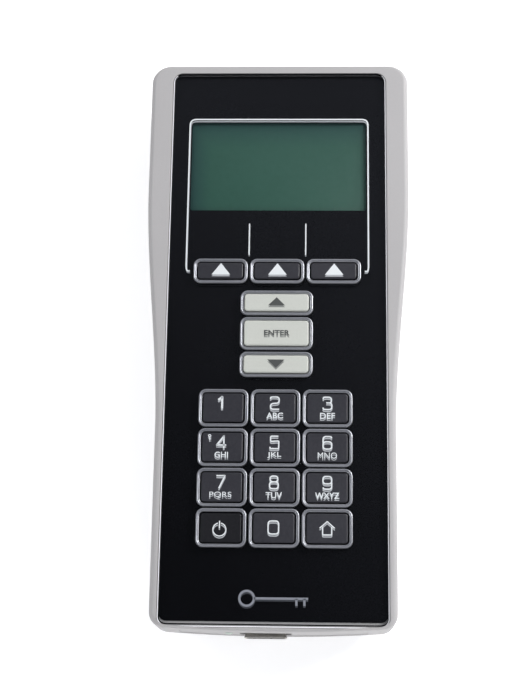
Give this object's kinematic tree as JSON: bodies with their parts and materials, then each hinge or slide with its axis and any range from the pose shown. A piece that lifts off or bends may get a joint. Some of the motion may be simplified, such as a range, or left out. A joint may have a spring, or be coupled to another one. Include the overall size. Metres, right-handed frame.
{
  "type": "handheld keypad terminal",
  "caption": "Handheld keypad terminal with a waisted two-shell case, green display under a black faceplate, collared sprung keys, end data socket and sliding battery door.",
  "frame": {"origin": "midway across and along the object, on the surface that its feet rest on", "axes": "+X to the user's right, +Y from the data socket end to the head, +Z out of the display"},
  "size_m": [0.0914, 0.202, 0.034],
  "materials": {
    "case_grey": "satin",
    "clear_plate": "polished",
    "black_print": "glossy",
    "collar_silver": "satin",
    "key_dark": "satin",
    "key_light": "satin",
    "socket_steel": "plated",
    "black_plastic": "matte",
    "light_pipe": "clear",
    "steel_frame": "matte",
    "display_green": "glossy",
    "diffuser": "matte",
    "board_green": "satin",
    "foam_black": "matte",
    "silicone": "matte",
    "screw_steel": "plated",
    "cell_sleeve": "satin",
    "contact_plate": "plated",
    "foot_rubber": "matte"
  },
  "bodies": {
    "case": {"front_shell": "case_grey", "rear_shell": "case_grey", "faceplate": "clear_plate", "mask_film": "black_print", "key_surround": "collar_silver", "end_panel": "case_grey", "socket_shell": "socket_steel", "socket_insert": "black_plastic", "status_light": "light_pipe", "lcd_bezel": "steel_frame", "lcd_glass": "display_green", "lcd_backlight": "diffuser", "lcd_board": "board_green", "lcd_header": "black_plastic", "lcd_gasket": "foam_black", "main_board": "board_green", "board_chips": "black_plastic", "keymat_sheet": "silicone", "keymat_domes": "silicone", "case_screws": "screw_steel", "board_screws": "screw_steel", "battery_cells": "cell_sleeve", "battery_contacts": "contact_plate", "battery_springs": "contact_plate", "feet": "foot_rubber"},
    "key_soft_left": {"key_soft_left": "key_dark"},
    "key_soft_middle": {"key_soft_middle": "key_dark"},
    "key_soft_right": {"key_soft_right": "key_dark"},
    "key_up": {"key_up": "key_light"},
    "key_enter": {"key_enter": "key_light"},
    "key_down": {"key_down": "key_light"},
    "key_1": {"key_1": "key_dark"},
    "key_2": {"key_2": "key_dark"},
    "key_3": {"key_3": "key_dark"},
    "key_4": {"key_4": "key_dark"},
    "key_5": {"key_5": "key_dark"},
    "key_6": {"key_6": "key_dark"},
    "key_7": {"key_7": "key_dark"},
    "key_8": {"key_8": "key_dark"},
    "key_9": {"key_9": "key_dark"},
    "key_power": {"key_power": "key_dark"},
    "key_0": {"key_0": "key_dark"},
    "key_home": {"key_home": "key_dark"},
    "battery_door": {"battery_door": "case_grey"}
  },
  "joints": [
    {"name": "key_soft_left_press", "type": "slide", "parent": "case", "child": "key_soft_left", "axis": [0, 0, -1], "range_m": [0, 0.0008], "stiffness_N_per_m": 800, "springref_m": -0.0005, "deforming": ["keymat_domes"]},
    {"name": "key_soft_middle_press", "type": "slide", "parent": "case", "child": "key_soft_middle", "axis": [0, 0, -1], "range_m": [0, 0.0008], "stiffness_N_per_m": 800, "springref_m": -0.0005, "deforming": ["keymat_domes"]},
    {"name": "key_soft_right_press", "type": "slide", "parent": "case", "child": "key_soft_right", "axis": [0, 0, -1], "range_m": [0, 0.0008], "stiffness_N_per_m": 800, "springref_m": -0.0005, "deforming": ["keymat_domes"]},
    {"name": "key_up_press", "type": "slide", "parent": "case", "child": "key_up", "axis": [0, 0, -1], "range_m": [0, 0.0008], "stiffness_N_per_m": 800, "springref_m": -0.0005, "deforming": ["keymat_domes"]},
    {"name": "key_enter_press", "type": "slide", "parent": "case", "child": "key_enter", "axis": [0, 0, -1], "range_m": [0, 0.0008], "stiffness_N_per_m": 800, "springref_m": -0.0005, "deforming": ["keymat_domes"]},
    {"name": "key_down_press", "type": "slide", "parent": "case", "child": "key_down", "axis": [0, 0, -1], "range_m": [0, 0.0008], "stiffness_N_per_m": 800, "springref_m": -0.0005, "deforming": ["keymat_domes"]},
    {"name": "key_1_press", "type": "slide", "parent": "case", "child": "key_1", "axis": [0, 0, -1], "range_m": [0, 0.0008], "stiffness_N_per_m": 800, "springref_m": -0.0005, "deforming": ["keymat_domes"]},
    {"name": "key_2_press", "type": "slide", "parent": "case", "child": "key_2", "axis": [0, 0, -1], "range_m": [0, 0.0008], "stiffness_N_per_m": 800, "springref_m": -0.0005, "deforming": ["keymat_domes"]},
    {"name": "key_3_press", "type": "slide", "parent": "case", "child": "key_3", "axis": [0, 0, -1], "range_m": [0, 0.0008], "stiffness_N_per_m": 800, "springref_m": -0.0005, "deforming": ["keymat_domes"]},
    {"name": "key_4_press", "type": "slide", "parent": "case", "child": "key_4", "axis": [0, 0, -1], "range_m": [0, 0.0008], "stiffness_N_per_m": 800, "springref_m": -0.0005, "deforming": ["keymat_domes"]},
    {"name": "key_5_press", "type": "slide", "parent": "case", "child": "key_5", "axis": [0, 0, -1], "range_m": [0, 0.0008], "stiffness_N_per_m": 800, "springref_m": -0.0005, "deforming": ["keymat_domes"]},
    {"name": "key_6_press", "type": "slide", "parent": "case", "child": "key_6", "axis": [0, 0, -1], "range_m": [0, 0.0008], "stiffness_N_per_m": 800, "springref_m": -0.0005, "deforming": ["keymat_domes"]},
    {"name": "key_7_press", "type": "slide", "parent": "case", "child": "key_7", "axis": [0, 0, -1], "range_m": [0, 0.0008], "stiffness_N_per_m": 800, "springref_m": -0.0005, "deforming": ["keymat_domes"]},
    {"name": "key_8_press", "type": "slide", "parent": "case", "child": "key_8", "axis": [0, 0, -1], "range_m": [0, 0.0008], "stiffness_N_per_m": 800, "springref_m": -0.0005, "deforming": ["keymat_domes"]},
    {"name": "key_9_press", "type": "slide", "parent": "case", "child": "key_9", "axis": [0, 0, -1], "range_m": [0, 0.0008], "stiffness_N_per_m": 800, "springref_m": -0.0005, "deforming": ["keymat_domes"]},
    {"name": "key_power_press", "type": "slide", "parent": "case", "child": "key_power", "axis": [0, 0, -1], "range_m": [0, 0.0008], "stiffness_N_per_m": 800, "springref_m": -0.0005, "deforming": ["keymat_domes"]},
    {"name": "key_0_press", "type": "slide", "parent": "case", "child": "key_0", "axis": [0, 0, -1], "range_m": [0, 0.0008], "stiffness_N_per_m": 800, "springref_m": -0.0005, "deforming": ["keymat_domes"]},
    {"name": "key_home_press", "type": "slide", "parent": "case", "child": "key_home", "axis": [0, 0, -1], "range_m": [0, 0.0008], "stiffness_N_per_m": 800, "springref_m": -0.0005, "deforming": ["keymat_domes"]},
    {"name": "battery_door_slide", "type": "slide", "parent": "case", "child": "battery_door", "axis": [0, -1, 0], "range_m": [0, 0.1]}
  ]
}
